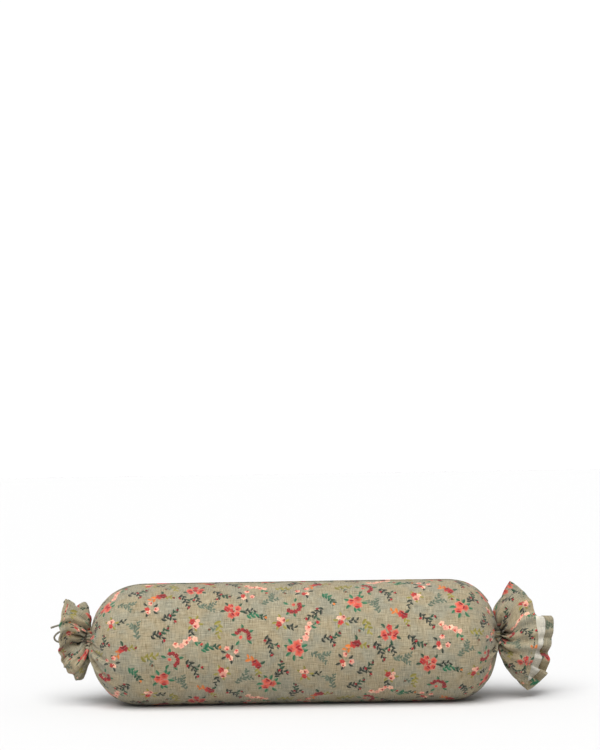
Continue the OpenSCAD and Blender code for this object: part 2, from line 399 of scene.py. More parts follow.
print(len(marks), "marks in one repeat,", sum(map(len, MOTIF_ROWS)), "motifs")

# %% [markdown]
# ## Cloth meshes
# A cloth is a grid of points worked out from two parameters. Its UV map holds the flat cloth's own
# coordinates in metres, so the weave and the print lie on the cloth and follow its folds.

# %% Grids, cloth meshes and the marks that cross each face
LAYERS = 6


def grid_faces(rows, cols, wrap):
    """Quads between neighbouring rows and columns; with wrap the last column joins the first."""
    i, j = np.meshgrid(np.arange(rows - 1), np.arange(cols - (not wrap)), indexing="ij")
    k = (j + 1) % cols
    quads = np.stack([i * cols + j, i * cols + k, (i + 1) * cols + k, (i + 1) * cols + j], -1)
    return quads.reshape(-1, 4)


def grid_corners(values, wrap_step=None):
    """The value at each quad's four corners. With wrap_step, a column is added past the last
    one, which equals the first column plus that step."""
    if wrap_step is not None:
        values = np.concatenate([values, values[:, :1] + wrap_step], axis=1)
    corners = np.stack([values[:-1, :-1], values[:-1, 1:], values[1:, 1:], values[1:, :-1]], 2)
    return corners.reshape(-1, 4, values.shape[-1])


def new_mesh(name, points, faces, corner_uv=None, smooth=True):
    """A mesh object at the origin from points, quads and, per corner, cloth coordinates."""
    mesh = bpy.data.meshes.new(name)
    mesh.vertices.add(len(points))
    mesh.vertices.foreach_set("co", np.ascontiguousarray(points, np.float32).ravel())
    mesh.loops.add(faces.size)
    mesh.loops.foreach_set("vertex_index", faces.ravel().astype(np.int32))
    mesh.polygons.add(len(faces))
    mesh.polygons.foreach_set("loop_start", np.arange(0, faces.size, faces.shape[1], dtype=np.int32))
    mesh.polygons.foreach_set("use_smooth", np.full(len(faces), smooth))
    mesh.update(calc_edges=True)
    if corner_uv is not None:
        layer = mesh.uv_layers.new(name="cloth")
        layer.data.foreach_set("uv", corner_uv.astype(np.float32).ravel())
    return add_object(name, mesh)


def repeated_marks(low, high):
    """One repeat's marks moved along the lattice to every place where they can touch the box
    from low to high, in mm."""
    copies = []
    for m in range(-4, 5):
        for n in range(-5, 6):
            move = marks.copy()
            move[:, 1] += m * REPEAT_A[0] + n * REPEAT_B[0]
            move[:, 2] += m * REPEAT_A[1] + n * REPEAT_B[1]
            inside = ((move[:, 1] > low[0] - 20) & (move[:, 1] < high[0] + 20)
                      & (move[:, 2] > low[1] - 20) & (move[:, 2] < high[1] + 20))
            copies.append(move[inside])
    copies = np.vstack(copies)
    return copies[np.argsort(copies[:, 0], kind="stable")]


def store_print(obj, corner_mm):
    """For each mark, the faces it crosses take it in their next free layer: the mark's own
    coordinates (x and y run from -1 to 1 over it, z is its bend) and its colour, with its kind
    in the alpha. corner_mm holds the cloth coordinates of each face's corners, in mm."""
    count = len(corner_mm)
    local = np.zeros((LAYERS, count, 4, 3), np.float32)
    local[..., 0] = 9
    tone = np.zeros((LAYERS, count, 4, 4), np.float32)
    filled = np.zeros(count, int)
    low, high = corner_mm.min(1), corner_mm.max(1)
    for _, u, v, angle, half_l, half_w, bend, red, green, blue, kind in repeated_marks(
            low.min(0), high.max(0)):
        reach = half_l + half_w * (1 + abs(bend))
        near = np.flatnonzero((low[:, 0] < u + reach) & (high[:, 0] > u - reach)
                              & (low[:, 1] < v + reach) & (high[:, 1] > v - reach)
                              & (filled < LAYERS))
        if not len(near):
            continue
        c, s = math.cos(math.radians(angle)), math.sin(math.radians(angle))
        du, dv = corner_mm[near, :, 0] - u, corner_mm[near, :, 1] - v
        x, y = (du * c + dv * s) / half_l, (dv * c - du * s) / half_w
        wide = 1.15 + abs(bend) * (kind == 0)
        hit = ((x.min(1) < 1.15) & (x.max(1) > -1.15) & (y.min(1) < wide) & (y.max(1) > -wide))
        faces = near[hit]
        at = filled[faces]
        local[at, faces, :, 0], local[at, faces, :, 1], local[at, faces, :, 2] = x[hit], y[hit], bend
        tone[at, faces] = (red, green, blue, kind)
        filled[faces] += 1
    for k in range(LAYERS):
        a = obj.data.attributes.new(f"mark{k}", "FLOAT_VECTOR", "CORNER")
        a.data.foreach_set("vector", local[k].ravel())
        b = obj.data.attributes.new(f"ink{k}", "FLOAT_COLOR", "CORNER")
        b.data.foreach_set("color", tone[k].ravel())
    print(obj.name, "faces", count, "fullest face has", filled.max(), "marks")


# %% [markdown]
# ## Materials
# The shader maths is written as plain expressions: a small class wraps a socket, and adding or
# multiplying two of them adds the Math node that does it.


# %% Shader expressions
class Value:
    """A number socket. The operators + - * / add Math nodes."""

    def __init__(self, paint, socket):
        self.paint, self.socket = paint, socket

    def math(self, operation, *others, first=None):
        inputs = {i + (first is None): o for i, o in enumerate(others)}
        inputs[0 if first is None else 1] = self
        if first is not None:
            inputs[0] = first
        return self.paint.value("ShaderNodeMath", inputs, operation=operation)

    def __add__(self, other):
        return self.math("ADD", other)

    __radd__ = __add__

    def __sub__(self, other):
        return self.math("SUBTRACT", other)

    def __rsub__(self, other):
        return self.math("SUBTRACT", first=other)

    def __mul__(self, other):
        return self.math("MULTIPLY", other)

    __rmul__ = __mul__

    def __truediv__(self, other):
        return self.math("DIVIDE", other)

    def __abs__(self):
        return self.math("ABSOLUTE")

    def clamp(self):
        return self.paint.value("ShaderNodeClamp", {0: self})


class Paint:
    """A material's node tree and the short calls that add nodes to it."""

    def __init__(self, name, **shader):
        self.material = bpy.data.materials.new(name)
        self.material.use_nodes = True
        self.tree = self.material.node_tree
        self.shader = self.tree.nodes["Principled BSDF"]
        for socket, number in shader.items():
            self.shader.inputs[socket.replace("_", " ")].default_value = number

    def node(self, kind, inputs=None, **settings):
        """One node: settings are set first, then each input is a number, a colour or a link."""
        node = self.tree.nodes.new(kind)
        for key, setting in settings.items():
            setattr(node, key, setting)
        for key, given in (inputs or {}).items():
            self.feed(node.inputs[key], given)
        return node

    def feed(self, socket, given):
        if isinstance(given, Value):
            given = given.socket
        if isinstance(given, bpy.types.NodeSocket):
            self.tree.links.new(given, socket)
        elif socket.type == "RGBA" and len(given) == 3:
            socket.default_value = (*given, 1)
        else:
            socket.default_value = given

    def value(self, kind, inputs=None, out=0, **settings):
        return Value(self, self.node(kind, inputs, **settings).outputs[out])

    def mix(self, low, high, factor):
        """The colour low where factor is 0 and high where it is 1."""
        node = self.node("ShaderNodeMix", {0: factor, 6: low, 7: high}, data_type="RGBA")
        return node.outputs[2]

    def noise(self, place, scale, detail=2.0, rough=0.5):
        return self.value("ShaderNodeTexNoise", {"Vector": place, "Scale": scale,
                                                 "Detail": detail, "Roughness": rough})

    def stretched(self, place, scale):
        """The place with each axis multiplied by its own number."""
        node = self.node("ShaderNodeVectorMath", {0: place, 1: scale}, operation="MULTIPLY")
        return node.outputs[0]

    def set(self, socket, given):
        self.feed(self.shader.inputs[socket], given)

    def bump(self, height, strength, distance):
        node = self.node("ShaderNodeBump", {"Height": height, "Strength": strength,
                                            "Distance": distance})
        self.set("Normal", node.outputs[0])


# %% [markdown]
# ## Printed linen
# Linen is spun unevenly: some threads are thick and pale, others thin and dark, which gives streaks
# along and across the cloth. The dye sits in soft cloudy patches. The weave itself is fine, so it is
# drawn as crossing ridges in the bump and as a faint checker in the colour.

# %% Linen ground and the printed linen material
THREAD = 0.62 * MM


def linen_ground(paint, place, pale, warm, cool):
    """Cloudy mix of three tones, streaked along both threads. Returns (colour, weave height)."""
    cloud = paint.noise(place, 26, 3, 0.6)
    patch = paint.noise(place, 61, 2, 0.6)
    tone = paint.mix(cool, warm, ((cloud - 0.4) * 5.5).clamp())
    tone = paint.mix(tone, pale, ((patch - 0.42) * 2.4).clamp() * 0.7)
    along = paint.noise(paint.stretched(place, (70, 1300, 1)), 1, 2, 0.7)
    across = paint.noise(paint.stretched(place, (1300, 70, 1)), 1, 2, 0.7)
    slub = (along + across - 1) * 2.4
    parts = paint.node("ShaderNodeSeparateXYZ", {0: place})
    warp = (Value(paint, parts.outputs[0]) * (2 * math.pi / THREAD)).math("SINE")
    weft = (Value(paint, parts.outputs[1]) * (2 * math.pi / THREAD)).math("SINE")
    weave = warp * weft
    light = (0.5 + slub * 0.7 + weave * 0.12).clamp()
    dark = paint.mix(tone, (0.02, 0.02, 0.015), 0.42)
    bright = paint.mix(tone, (0.92, 0.86, 0.68), 0.26)
    return paint.mix(dark, bright, light), weave * 0.6 + slub * 0.8


def draw_marks(paint, ground, place):
    """Lays the stored marks over the ground, the last layer first. A lens covers
    |y - bend * (1 - x * x)| < 1 - x * x. A blossom covers r < 0.74 + 0.26 * |cos(2.5 * angle)|."""
    wobble = (paint.noise(place, 900, 2, 0.6) - 0.5) * 0.5
    for k in reversed(range(LAYERS)):
        spot = paint.node("ShaderNodeAttribute", attribute_name=f"mark{k}")
        ink = paint.node("ShaderNodeAttribute", attribute_name=f"ink{k}")
        parts = paint.node("ShaderNodeSeparateXYZ", {0: spot.outputs["Vector"]})
        x, y, bend = (Value(paint, parts.outputs[i]) for i in range(3))
        kind = Value(paint, ink.outputs["Alpha"])
        room = 1 - x * x
        off = y - bend * (1 - kind) * room
        lens = ((room - abs(off) + wobble + 0.12) * 3.4).clamp()
        radius = (x * x + y * y).math("SQRT")
        petal = abs((y.math("ARCTAN2", x) * 2.5).math("COSINE"))
        flower = ((0.74 + petal * 0.26 - radius + wobble * 0.8) * 5).clamp()
        cover = lens + (flower - lens) * kind
        shade = kind * ((0.26 - radius) * 4).clamp() * 0.7
        heart = paint.mix(ink.outputs["Color"], colour(120, 22, 26), shade)
        glow = (kind * bend * ((radius - 0.3) * 2).clamp() * (0.2 + wobble * 1.2)
                + (1 - kind) * (off * 1.6).clamp() * 0.12)
        painted = paint.mix(heart, colour(252, 226, 204), glow)
        ground = paint.mix(ground, painted, cover * 0.95)
    return ground


LINEN_TONES = colour(153, 141, 109), colour(144, 125, 87), colour(125, 121, 100)


def printed_linen():
    """The outside of the cover: linen ground, floral marks, painted shade in folds and near the necks, and a
    soft matt sheen.
    """
    paint = Paint("printed_linen_cloth", Roughness=0.86, Sheen_Weight=0.12, Sheen_Roughness=0.5)
    paint.shader.inputs["Specular IOR Level"].default_value = 0.2
    place = paint.node("ShaderNodeUVMap", uv_map="cloth").outputs[0]
    ground, height = linen_ground(paint, place, *LINEN_TONES)
    printed = draw_marks(paint, ground, place)
    weave = (0.5 + height * 0.3).clamp()
    shade = paint.mix(printed, (0.05, 0.045, 0.035), (0.5 - weave).clamp() * 0.35)
    # Painted shade: the printed cloth is mixed towards dark brown by the stored painted-shade amount, in
    # folds and near the necks.
    painted_shade_amount = paint.value("ShaderNodeAttribute", attribute_name="fold", out=2)
    paint.set("Base Color", paint.mix(shade, colour(40, 30, 20), painted_shade_amount.clamp()))
    paint.bump(height, 0.35, 0.0004)
    return paint.material


linen_print = printed_linen()
print("printed linen has", len(linen_print.node_tree.nodes), "nodes")

# %% [markdown]
# ## The stuffed roll
# The cover is one tube of cloth. Its middle is a straight cylinder and each end rounds over to the
# neck. The weight presses a narrow flat under it. The cloth's extra width has to go somewhere as the
# ends draw in, so small gathers run out of each neck and a few long creases cross the shoulders.

# %% Profile of the roll and its creases
SLEEVE = 6.5 * MM


def shoulder_radius(s):
    """Radius at the share s of a shoulder: 0 where it starts and 1 at the neck."""
    return NECK_R + (BODY_R - NECK_R) * np.sqrt(np.clip(1 - s ** SHOULDER_POWER, 0, 1))


def roll_profile():
    """Distance along the roll, radius and arc length from the middle, from neck to neck."""
    s = np.sin(np.linspace(0, math.pi / 2, 240))
    radius = shoulder_radius(s)
    x, r = [], []
    for side, turn in ((LEFT, slice(None, None, -1)), (RIGHT, slice(None))):
        along = np.append(NECK_X - SHOULDER[side] * (1 - s), NECK_X + SLEEVE)
        x.append(side * along[turn])
        r.append(np.append(radius, NECK_R - 1.2 * MM)[turn])
    x, r = np.concatenate(x), np.concatenate(r)
    arc = np.concatenate([[0], np.cumsum(np.hypot(np.diff(x), np.diff(r)))])
    return x, r, arc - np.interp(0, x, arc)


PROFILE_X, PROFILE_R, PROFILE_ARC = roll_profile()


ANY_PHASE = 6.28  # nearly a whole turn, in radians: where a wave may start


def pleats(angle, count, seed):
    """Rounded ridges with sharp valleys, 2|sin| - 1, at uneven distances round the roll."""
    draw = np.random.default_rng(seed)
    uneven = sum(draw.uniform(0.2, 0.5) / k * np.sin(k * angle + draw.uniform(0, ANY_PHASE))
                 for k in range(1, 8))
    return 2 * np.abs(np.sin(angle * count / 2 + uneven * 2.4)) - 1


def ripple(angle, along, seed, count=9):
    """A smooth uneven surface: a sum of waves that run in chance directions."""
    draw = np.random.default_rng(seed)
    return sum(draw.uniform(0.3, 1) * np.sin(draw.integers(1, 7) * angle
               + draw.uniform(-60, 60) * along + draw.uniform(0, ANY_PHASE)) for _ in range(count)) / count


def crease(distance, angle, radius, route, depth, width, lip):
    """A valley along a route of [distance from the neck in mm, angle in degrees] points, deepest
    at its first point, with a soft ridge of `lip` times its depth beside it."""
    best = np.full(distance.shape, 1.0)
    height = np.zeros(distance.shape)
    steps = len(route) - 1
    for k in range(steps):
        (d0, a0), (d1, a1) = route[k], route[k + 1]
        turn = (angle - math.radians(a0) + math.pi) % (2 * math.pi) - math.pi
        p, q = distance - d0 * MM, turn * radius
        dp, dq = (d1 - d0) * MM, math.radians(a1 - a0) * radius
        t = np.clip((p * dp + q * dq) / (dp * dp + dq * dq + 1e-12), 0, 1)
        off_p, off_q = p - t * dp, q - t * dq
        off = np.hypot(off_p, off_q)
        side = np.sign(dp * off_q - dq * off_p)
        fade = np.sqrt(np.clip(1 - (k + t) / steps, 0, 1))
        shape = (-np.exp(-(off / width) ** 2)
                 + lip * np.exp(-((off * side - 2.1 * width) / (1.5 * width)) ** 2)) * fade
        closer = off < best
        best = np.where(closer, off, best)
        height = np.where(closer, shape, height)
    return height * depth


CREASES = {
    LEFT: [
        ([(4, 97), (20, 99), (38, 98), (62, 103)], 4.4, 2.4, 1.0),
        ([(5, 112), (24, 116), (46, 122), (66, 126)], 4.4, 2.2, 1.2),
        ([(6, 84), (22, 88), (44, 92)], 3.2, 2.2, 0.8),
        ([(4, 134), (22, 142), (44, 146)], 2.6, 3.4, 0.8),
        ([(4, 60), (18, 62), (34, 66)], 1.8, 3, 0.6),
        ([(5, 40), (24, 38), (48, 34)], 1.8, 3.4, 0.5),
        ([(4, 165), (26, 170), (50, 172)], 2.2, 3, 0.7),
        ([(4, 210), (26, 206), (56, 204)], 3, 3, 0.8),
        ([(4, 240), (26, 246), (52, 250)], 3, 3, 0.8),
        ([(4, 282), (28, 280), (60, 284)], 3.2, 3, 0.8),
        ([(4, 316), (20, 318), (40, 320)], 2.4, 3, 0.7),
    ],
    RIGHT: [
        ([(3, 104), (14, 106), (26, 105), (44, 103)], 4.6, 2.2, 1.1),
        ([(5, 118), (20, 124), (42, 130)], 2.8, 4, 0.8),
        ([(6, 40), (22, 32), (44, 22), (60, 12)], 2.6, 1.7, 0.8),
        ([(4, 86), (16, 84), (30, 80)], 2, 2.6, 0.6),
        ([(4, 66), (16, 62), (28, 60)], 1.6, 3, 0.5),
        ([(4, 142), (22, 150), (44, 156)], 2.6, 3.6, 0.8),
        ([(4, 176), (26, 180), (50, 184)], 2.4, 3, 0.7),
        ([(4, 214), (28, 218), (56, 222)], 3.2, 3, 0.8),
        ([(4, 252), (26, 250), (50, 246)], 3, 3, 0.8),
        ([(4, 290), (28, 294), (56, 292)], 3.2, 3, 0.8),
        ([(4, 330), (20, 334), (44, 338)], 2.4, 3, 0.7),
    ],
}


def roll_surface(arc, angle, lift=0.0):
    """The cover's points on a grid: arc runs along the cloth from the middle and angle round it,
    from the top towards the front. lift moves the surface outwards. Returns (points, fold depth)."""
    x = np.interp(arc, PROFILE_ARC, PROFILE_X)
    r = np.interp(arc, PROFILE_ARC, PROFILE_R)
    slope = np.gradient(r, arc)
    out_r = np.clip(np.gradient(x, arc), 0, 1)
    out_x = -slope
    grid_a, grid_arc = np.meshgrid(angle, arc)
    radius = np.broadcast_to(r[:, None], grid_a.shape)
    rise = 0.45 * MM * ripple(grid_a, grid_arc, 5)
    for side in (LEFT, RIGHT):
        end = PROFILE_ARC[-1] if side == RIGHT else -PROFILE_ARC[0]
        distance = end - SLEEVE - side * grid_arc
        near = np.clip(distance, 0, None)
        count = 26 if side == LEFT else 24
        fine = np.exp(-near / (11 * MM)) * pleats(grid_a, count, 8 + side)
        broad = np.exp(-near / (26 * MM)) * pleats(grid_a, 11, 18 + side)
        soft = np.exp(-((near - 45 * MM) / (30 * MM)) ** 2) * ripple(grid_a, grid_arc, 30 + side)
        rise = rise + (1.5 * fine + 1.1 * broad + 1.1 * soft) * MM
        for route, depth, width, lip in CREASES[side]:
            rise = rise + crease(distance, grid_a, radius, route, depth * MM, width * MM, lip)
    low = np.where(radius > 60 * MM, -1.5 * MM, -4.5 * MM)
    rise = np.maximum(rise, low)
    full = np.clip((BODY_R * 0.9 - radius) / (BODY_R * 0.9 - NECK_R), 0, 1) ** 2
    raised = np.where(grid_arc < 0, PIVOT[LEFT][2] - AXIS_Z, PIVOT[RIGHT][2] - AXIS_Z) * full
    out = radius + (rise + lift) * out_r[:, None]
    points = np.stack([x[:, None] + (rise + lift) * out_x[:, None],
                       -out * np.sin(grid_a),
                       AXIS_Z + raised + out * np.cos(grid_a)], -1)
    floor = 0.1 * MM
    height = points[..., 2] - floor
    points[..., 2] = floor + 0.5 * (height + np.sqrt(height ** 2 + (0.5 * MM) ** 2))
    return points, np.clip(-rise / (3.2 * MM), 0, 1)


def cloth_v(angle):
    """The flat cloth's coordinate round the roll, 0 at the front and up from there."""
    return BODY_R * (math.pi / 2 - angle)


# %% The cover
AROUND = 180
SEAM_TURN = math.radians(-22)


def spaced(edges, steps):
    """Even steps between neighbouring edges, as one run of numbers."""
    parts = [np.linspace(a, b, n, endpoint=False) for a, b, n in zip(edges, edges[1:], steps)]
    return np.concatenate([*parts, edges[-1:]])


shoulder_start = {side: abs(np.interp(side * (NECK_X - SHOULDER[side]), PROFILE_X, PROFILE_ARC))
                  for side in (LEFT, RIGHT)}
cover_arc = spaced(
    [PROFILE_ARC[0], -shoulder_start[LEFT] - 60 * MM, -shoulder_start[LEFT], 0,
     shoulder_start[RIGHT], shoulder_start[RIGHT] + 55 * MM, PROFILE_ARC[-1]], [46, 34, 56, 56, 32, 44])
cover_angle = SEAM_TURN + np.linspace(0, 2 * math.pi, AROUND, endpoint=False)
cover_points, cover_fold = roll_surface(cover_arc, cover_angle)


def flat_coordinates(arc, angle):
    """Cloth coordinates in metres on a grid of arc and angle."""
    v, u = np.meshgrid(cloth_v(angle), arc)
    return np.stack([u, v], -1)


def store_painted_shade(obj, depth):
    """How much painted shade each point takes, from 0 to 1: the materials darken the cloth by it in its folds
    and near the necks.
    """
    attribute = obj.data.attributes.new("fold", "FLOAT", "POINT")
    attribute.data.foreach_set("value", np.clip(depth, 0, 1).astype(np.float32).ravel())


cover_uv = grid_corners(flat_coordinates(cover_arc, cover_angle), (0, -CLOTH_ROUND))
cover = new_mesh("cover", cover_points.reshape(-1, 3), grid_faces(len(cover_arc), AROUND, True), cover_uv)
store_print(cover, cover_uv * 1000)
# Painted shade: the cover darkens in its creases and most of all within a few mm of each neck, where the
# drawn-in ends lie in shade.
neck_painted_shade = np.minimum(np.exp(-(cover_arc - PROFILE_ARC[0]) / (8 * MM))
                       + np.exp(-(PROFILE_ARC[-1] - cover_arc) / (8 * MM)), 1)[:, None]
store_painted_shade(cover, np.maximum(cover_fold * 0.3, neck_painted_shade * (0.35 + 0.5 * cover_fold)))
cover.data.materials.append(linen_print)
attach(cover, "bolster")
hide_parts("cover_body")
print("cover", len(cover.data.polygons), "faces", [round(v, 4) for v in cover_points.reshape(-1, 3).min(0)])

# %% [markdown]
# ## Frills
# Each frill is the open end of the same tube, spread beyond the drawn neck. Its shape is a loft: a
# few closed rings, each a list of places [outwards, back, up] in mm from the bend, with
# the same number of places from the top round by the front. A curve through all the points joins
# them both ways. Small pleats start at the neck and fade outwards, and deeper ruffles grow towards
# the hem, most of all behind. The cloth's back is held in front of the knot and the bow's cords, but
# the hem's fold is thicker than the cloth and still touches a cord.

# %% Rings of the frills
LEFT_RINGS = {
    "throat": [
        (1, 0, 20), (2, -7, 18), (3, -10, 12), (4, -8, 7), (4, -7, 3), (4, -8, -1), (3, -13, -5),
        (1, -17, -9), (1, -13, -15), (1, -4, -17), (2, 3, -16), (4, 7, -15), (1, 11, -12), (4, 12, -7),
        (1, 15, -3), (4, 14, 2), (1, 14, 7), (4, 11, 11), (1, 8, 15), (2, 3, 18)],
    "belly": [
        (-0.5, 0, 28), (3, -9, 23), (8, -14, 17), (11, -12, 9), (11, -9, 2), (10, -9, -6), (9, -18, -13),
        (6, -25, -19), (3, -17, -25), (1, -6, -27), (2, 4, -26), (8, 9, -24), (1, 15, -18), (10, 16, -11),
        (2, 20, -4), (11, 18, 3), (2, 19, 10), (9, 15, 17), (1, 12, 22), (5, 3, 27)],
    "flare": [
        (13, -2, 40), (17, -14, 32), (21, -20, 23), (23, -23, 13), (21, -18, 3), (20, -15, -7),
        (23, -28, -20), (14, -31, -29), (8, -20, -36), (6, -5, -40), (5, 6, -37), (15, 12, -31),
        (4, 21, -23), (20, 19, -14), (6, 26, -5), (21, 24, 4), (6, 25, 13), (20, 20, 23), (7, 18, 31),
        (18, 4, 38)],
    "hem": [
        (27, -4, 51), (30, -22, 34), (31, -32, 21), (31, -36, 9), (32, -35, -4), (31, -32, -14),
        (28.5, -27, -26), (26, -21, -34), (18, -13, -43), (14, -4, -50), (8, 8, -45), (21, 16, -36),
        (8, 27, -27), (29, 23, -16), (11, 31, -5), (31, 29, 5), (12, 31, 16), (30, 26, 27), (13, 23, 38),
        (28, 8, 44)],
}
RIGHT_RINGS = {
    "throat": [
        (0, 0, 21), (0, -8, 20), (1, -14, 16), (4, -14, 11), (6, -9, 7), (6, -8, 3), (5, -8, 0),
        (5, -9, -4), (5, -12, -8), (4, -15, -12), (3, -12, -16), (3, -6, -18), (3, -2, -19), (3, 3, -19),
        (4, 7, -18), (5, 10, -15), (6, 13, -12), (6, 15, -8), (6, 16, -4), (6, 16, 0), (6, 16, 4),
        (6, 15, 8), (4, 14, 11), (3, 12, 14), (1, 8, 17), (0, 4, 20)],
    "belly": [
        (-2, 0, 33), (-1, -11, 32), (2, -20, 27), (8, -26, 22), (12, -30, 14), (12, -29, 6), (11, -29, 0),
        (10, -29, -6), (9, -27, -13), (7, -22, -19), (5, -16, -25), (6, -9, -29), (7, -3, -31),
        (7, 3, -31), (10, 8, -29), (13, 13, -26), (15, 17, -20), (16, 20, -14), (16, 22, -7), (17, 22, 1),
        (17, 22, 7), (17, 22, 13), (12, 23, 17), (7, 20, 22), (2, 13, 28), (-1, 6, 32)],
    "flare": [
        (7, -1, 53), (11, -14, 50), (15, -25, 45), (19, -33, 39), (23, -39, 29), (25, -41, 19),
        (26, -42, 9), (26, -42, -2), (25, -40, -13), (21, -35, -24), (18, -28, -35), (17, -19, -44),
        (18, -11, -51), (22, -3, -56), (29, 5, -52), (35, 11, -46), (39, 17, -39), (41, 22, -29),
        (42, 25, -18), (44, 26, -7), (45, 27, 4), (45, 27, 16), (37, 36, 16), (28, 33, 24), (19, 22, 38),
        (11, 10, 49)],
    "hem": [
        (15.5, -2, 66), (24.5, -17, 60), (31.5, -26, 53), (37, -33, 46), (39.5, -38, 36), (41, -41, 25),
        (42.5, -43, 12), (43.5, -44, -1), (41.5, -43, -12), (38, -38, -25), (35, -31, -38),
        (32.5, -23, -50), (33, -14, -58), (34, -5, -67), (46, 5, -63), (54, 12, -57), (60.5, 18, -50),
        (63.5, 24, -36), (65, 27, -22), (69, 29, -9), (71, 30, 4), (70, 29, 18), (60, 43, 8),
        (47, 42, 21), (36, 30, 38), (25, 14, 54)],
}


def spline_weights(count, samples, closed):
    """How much each of the given points adds to each sample of a curve that passes through them
    all, where the slope at a point is half the step between its two neighbours."""
    span = count if closed else count - 1
    place = np.linspace(0, span, samples, endpoint=not closed)
    first = np.minimum(place.astype(int), span - 1)
    t = place - first
    parts = np.stack([-t + 2 * t**2 - t**3, 2 - 5 * t**2 + 3 * t**3,
                      t + 4 * t**2 - 3 * t**3, t**3 - t**2], 1) / 2
    weights = np.zeros((samples, count))
    for k, shift in enumerate((-1, 0, 1, 2)):
        at = (first + shift) % count if closed else np.clip(first + shift, 0, count - 1)
        np.add.at(weights, (np.arange(samples), at), parts[:, k])
    return weights


def round_ring(outwards, radius, count):
    """A circle of places round the axis, from the top by the front."""
    a = 2 * math.pi * np.arange(count) / count
    return np.stack([np.full(count, float(outwards)), -radius * np.sin(a), radius * np.cos(a)], -1)


def grid_normals(points):
    """Unit normals of a grid that is closed in its columns: the cross product of its two steps."""
    down = np.gradient(points, axis=0)
    round_it = (np.roll(points, -1, axis=1) - np.roll(points, 1, axis=1)) / 2
    normal = np.cross(round_it, down)
    return normal / np.maximum(np.linalg.norm(normal, axis=-1, keepdims=True), 1e-12)


def even_ribs(grid):
    """The same grid with its rows spread evenly along each rib's own length. Every rib's lengths
    are laid end to end on one line, a unit apart, so that one interpolation serves them all."""
    rows, cols = grid.shape[:2]
    steps = np.linalg.norm(np.diff(grid, axis=0), axis=-1)
    share = np.concatenate([np.zeros((1, cols)), np.cumsum(steps, 0) / steps.sum(0)]) * 0.999
    line = (share + np.arange(cols)).T.ravel()
    wanted = (np.linspace(0, 0.999, rows)[:, None] + np.arange(cols)).T.ravel()
    return np.stack([np.interp(wanted, line, grid[..., k].T.ravel()).reshape(cols, rows).T
                     for k in range(3)], -1)


LABEL_TURN = math.radians(281)
# Two rows, in mm: a distance from the line that the frill bends about, and how far behind the knot's
# middle the cloth may reach there. The bow's cords leave the left knot just behind this limit.
ROOM_BEHIND = {
    LEFT: ([0, 5.5, 8, 10.5, 17.5, 26, 34], [-5.6, -5.6, -0.5, 4.5, 11.4, 16.8, 19]),
    RIGHT: ([0, 5.5, 9, 16], [-5.6, -5.6, 2, 40]),
}


def clear_of_cords(surface, side):
    """The surface pressed forwards where it would reach the knot or the cords behind it. The limit
    depends only on the distance from the bend's line, so it holds however far the frill flops. A
    smooth minimum, rounded over a millimetre, keeps the dent soft."""
    distance = np.hypot(surface[..., 0] - PIVOT[side][0], surface[..., 2] - PIVOT[side][2])
    limit = KNOT_BACK + np.interp(distance / MM, *ROOM_BEHIND[side]) * MM
    spare = limit - surface[..., 1]
    surface[..., 1] = limit - 0.5 * (spare + np.sqrt(spare ** 2 + (1 * MM) ** 2))
    return surface


def frill_surface(side, rings, columns, rows, gathers, ruffles):
    """Outer face of a frill as a grid from inside the neck to the hem, and its painted shade: in the valleys
    of the neck's pleats, and darker towards the neck.
    ruffles is (count, height in front, height behind) in mm."""
    count = len(rings["hem"])
    stack = np.array([round_ring(-6, 11, count), round_ring(-1, 11.6, count),
                      *(rings[k] for k in ("throat", "belly", "flare", "hem"))])
    surface = np.einsum("rk,kcx,nc->rnx", spline_weights(len(stack), rows, False), stack,
                        spline_weights(count, columns, True))
    surface = even_ribs(surface)
    surface[..., 0] *= side
    surface = surface * MM + PIVOT[side]
    normal = grid_normals(surface) * side
    t = np.linspace(0, 1, rows)[:, None]
    angle = np.broadcast_to(2 * math.pi * np.arange(columns) / columns, (rows, columns))
    neck = np.exp(-((t - 0.2) / 0.16) ** 2) * pleats(angle, gathers, 60 + side) * 3.6
    middle = np.exp(-((t - 0.42) / 0.2) ** 2) * pleats(angle, gathers // 2, 70 + side) * 3.4
    wave = t * t * ripple(angle, np.broadcast_to(t * 0.06, angle.shape), 80 + side) * 1.5
    count, ahead, behind = ruffles
    high = ahead + (behind - ahead) * np.clip(-1.6 * np.sin(angle) + 0.1, 0, 1)
    if side == RIGHT:
        high = high * (1 - np.exp(-((angle - LABEL_TURN) / 0.36) ** 2))
    uneven = 0.5 * np.sin(2 * angle + 1) + 0.35 * np.sin(3 * angle)
    ruffle = np.sin(count * angle + uneven) * high * np.clip((t - 0.28) / 0.6, 0, 1)
    rise = neck + middle + wave + ruffle
    surface = clear_of_cords(surface + normal * (rise * MM)[..., None], side)
    # Painted shade: fold marks the valleys of the neck's pleats, and dark grows towards the neck, where the
    # frill's throat lies in shade.
    fold = np.clip(0.5 - neck / 7.2, 0, 1) * np.exp(-((t - 0.22) / 0.14) ** 2)
    dark = np.clip(1 - t / 0.34, 0, 1) * 0.85
    return surface, np.maximum(fold * 0.6, dark)


FRILL = {
    LEFT: {"rings": LEFT_RINGS, "length": 50 * MM, "gathers": 26, "ruffles": (17, 1.4, 10.5)},
    RIGHT: {"rings": RIGHT_RINGS, "length": 70 * MM, "gathers": 24, "ruffles": (18, 2.0, 7.0)},
}
COLUMNS, ROWS = 320, 46
for side, frill in FRILL.items():
    frill["grid"], frill["fold"] = frill_surface(
        side, frill["rings"], COLUMNS, ROWS, frill["gathers"], frill["ruffles"])
    grid = frill["grid"]
    loops = np.linalg.norm(np.diff(np.concatenate([grid, grid[:, :1]], 1), axis=1), axis=-1).sum(1)
    ribs = np.linalg.norm(np.diff(grid, axis=0), axis=-1).sum(0)
    flat_area = CLOTH_ROUND * frill["length"]
    print(SIDE_NAME[side], "frill: round", (loops[::9] * 1000).round(), "mm, neck to hem",
          (ribs[::40] * 1000).round(), "mm, share", round(float(loops.mean() * ribs.mean() / flat_area), 2))

# %% Frill shells and their folded hems
CLOTH_T = 0.7 * MM


